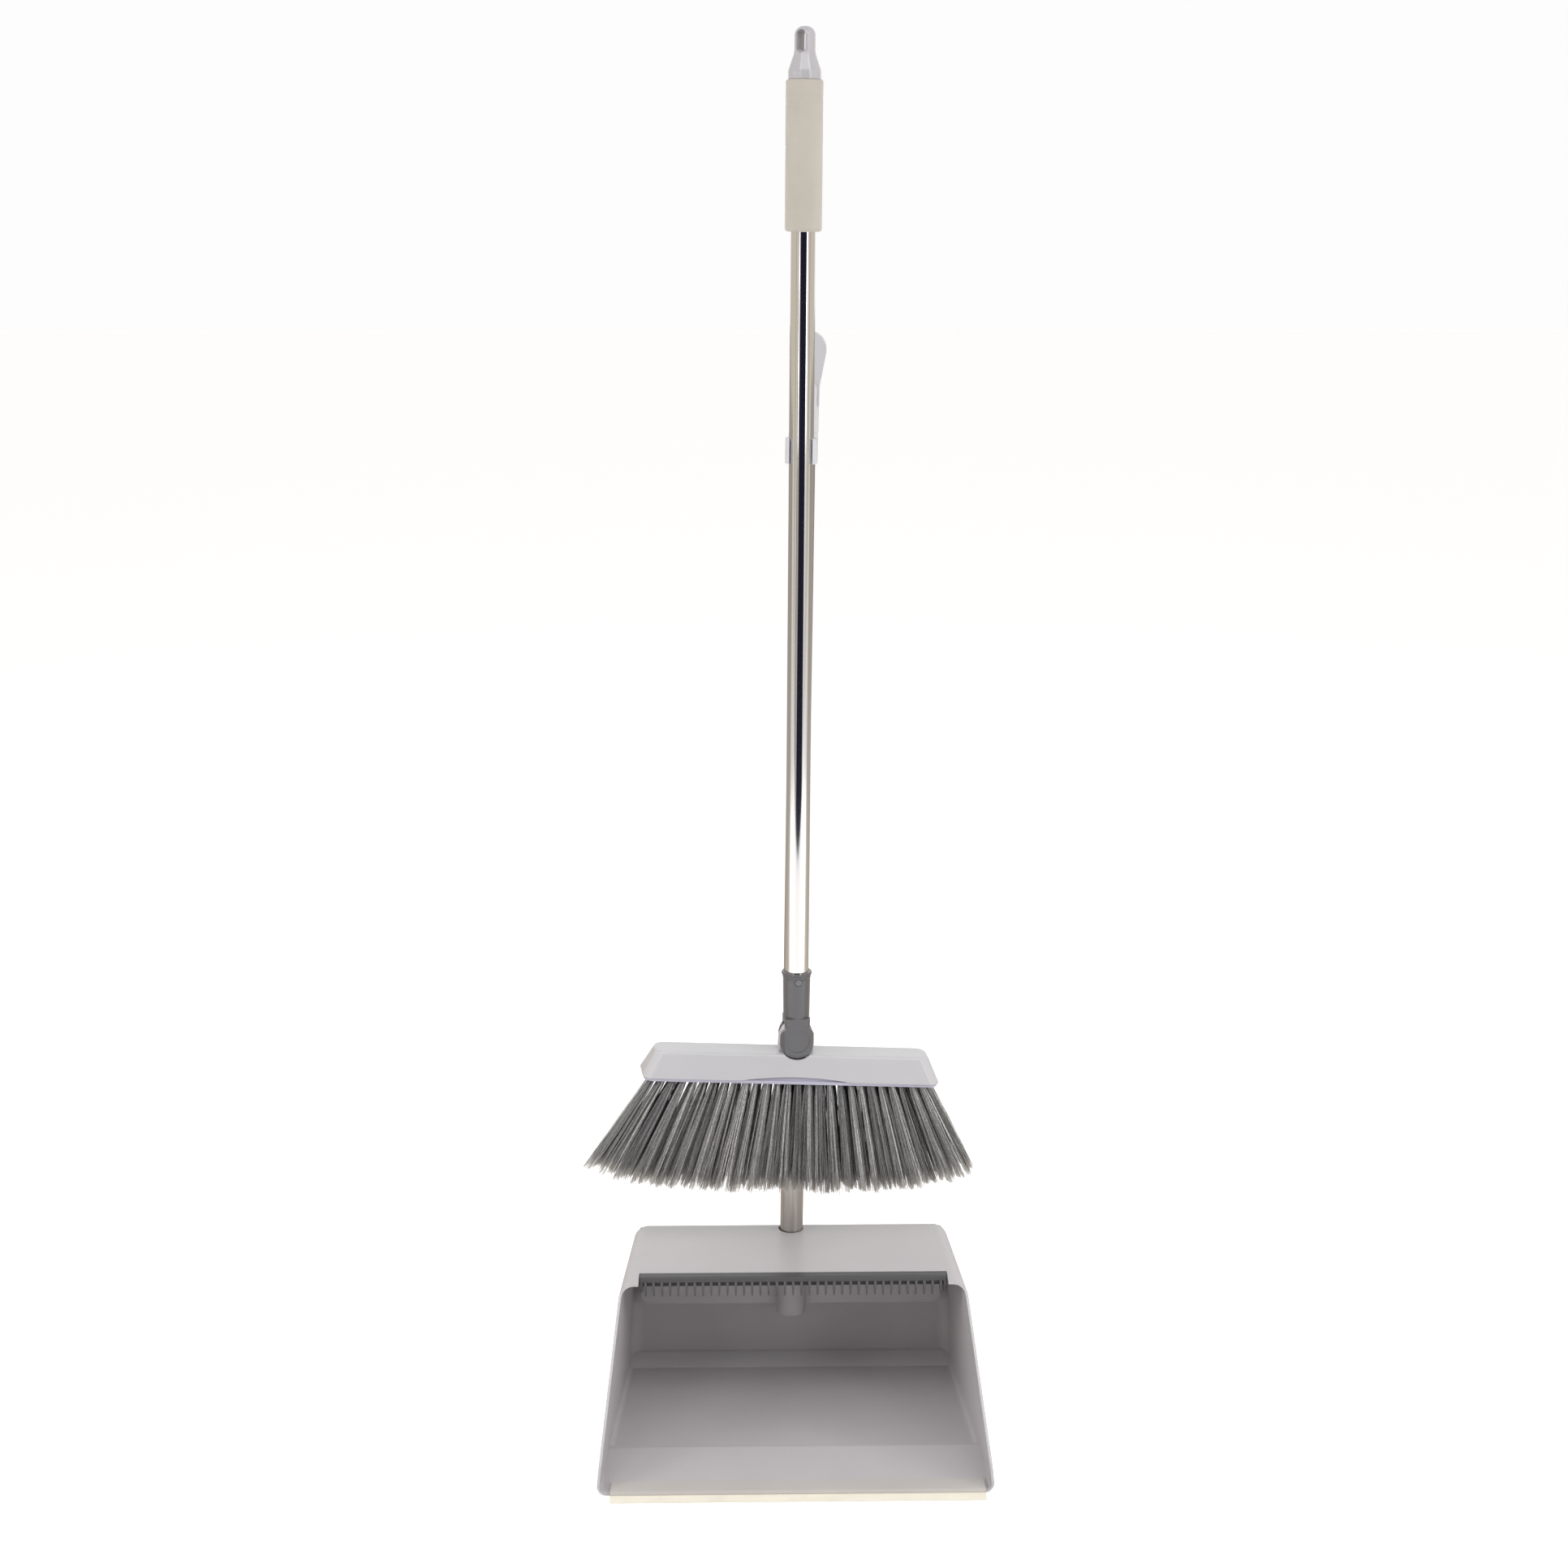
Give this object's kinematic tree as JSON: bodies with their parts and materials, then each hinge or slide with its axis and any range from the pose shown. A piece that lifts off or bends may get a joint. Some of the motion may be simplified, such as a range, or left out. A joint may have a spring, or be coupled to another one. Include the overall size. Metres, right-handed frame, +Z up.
{
  "type": "upright dustpan and broom set",
  "caption": "Upright hooded dustpan with a bristle-cleaning comb and a soft lip, and a long broom with a pivoting head that clips to the pan's pole above the hood",
  "frame": {"origin": "on the floor, under the foot of the pan's pole, on the flat underside of the pan", "axes": "+Z up, -Y towards the open mouth of the pan, +X to the right when facing the mouth"},
  "size_m": [0.3084, 0.2333, 1.1005],
  "materials": {
    "light_grey": "light warm-grey moulded plastic, satin gloss",
    "comb_grey": "dark grey moulded plastic, satin",
    "lip_grey": "mid grey plastic strip, fine moulded texture",
    "lip_cream": "cream soft rubber edge",
    "pole_steel": "brushed steel tube",
    "inner_black": "black moulded insert",
    "steel_zinc": "zinc-plated fasteners",
    "clip_grey": "light grey moulded plastic",
    "cap_grey": "light lilac-grey glossy plastic",
    "foam": "cream foam grip, matt, fine creases",
    "broom_steel": "mirror-polished stainless tube",
    "neck_grey": "dark grey glossy plastic",
    "cover_grey": "light grey glossy plastic",
    "block_grey": "lilac-grey plastic block",
    "bristle": "grey synthetic bristles with flagged light tips"
  },
  "bodies": {
    "dustpan": {"pan_shell": "light_grey", "comb_rail": "comb_grey", "comb_teeth": "comb_grey", "lip_strip": "lip_grey", "lip_rubber": "lip_cream", "pole_tube": "pole_steel", "pole_plug": "inner_black", "pole_screw": "steel_zinc", "handle_clip": "clip_grey"},
    "broom_stick": {"hang_cap": "cap_grey", "grip_sleeve": "foam", "broom_tube": "broom_steel", "neck_socket": "neck_grey", "button_spring": "steel_zinc", "pivot_screw": "steel_zinc", "thrust_washers": "inner_black"},
    "broom_button": {"snap_button": "neck_grey"},
    "broom_head": {"head_cover": "cover_grey", "bristle_block": "block_grey", "cover_screws": "steel_zinc", "tuft_staples": "steel_zinc", "bristle_row_1": "bristle", "bristle_row_2": "bristle", "bristle_row_3": "bristle", "bristle_row_4": "bristle"}
  },
  "joints": [
    {"name": "broom_pull_off", "type": "slide", "parent": "dustpan", "child": "broom_stick", "axis": [-0.0736, -0.9973, 0.001], "range_m": [0, 0.3]},
    {"name": "head_pivot", "type": "hinge", "parent": "broom_stick", "child": "broom_head", "pos_m": [0.00346, -0.02992, 0.31518], "axis": [-0.1219, 0.9925, 0.0009], "range_deg": [-78, 70]},
    {"name": "button_press", "type": "slide", "parent": "broom_stick", "child": "broom_button", "axis": [-0.1219, 0.9925, 0.0009], "range_m": [0, 0.0024], "stiffness_N_per_m": 400, "springref_m": -0.003, "deforming": ["button_spring"]}
  ]
}
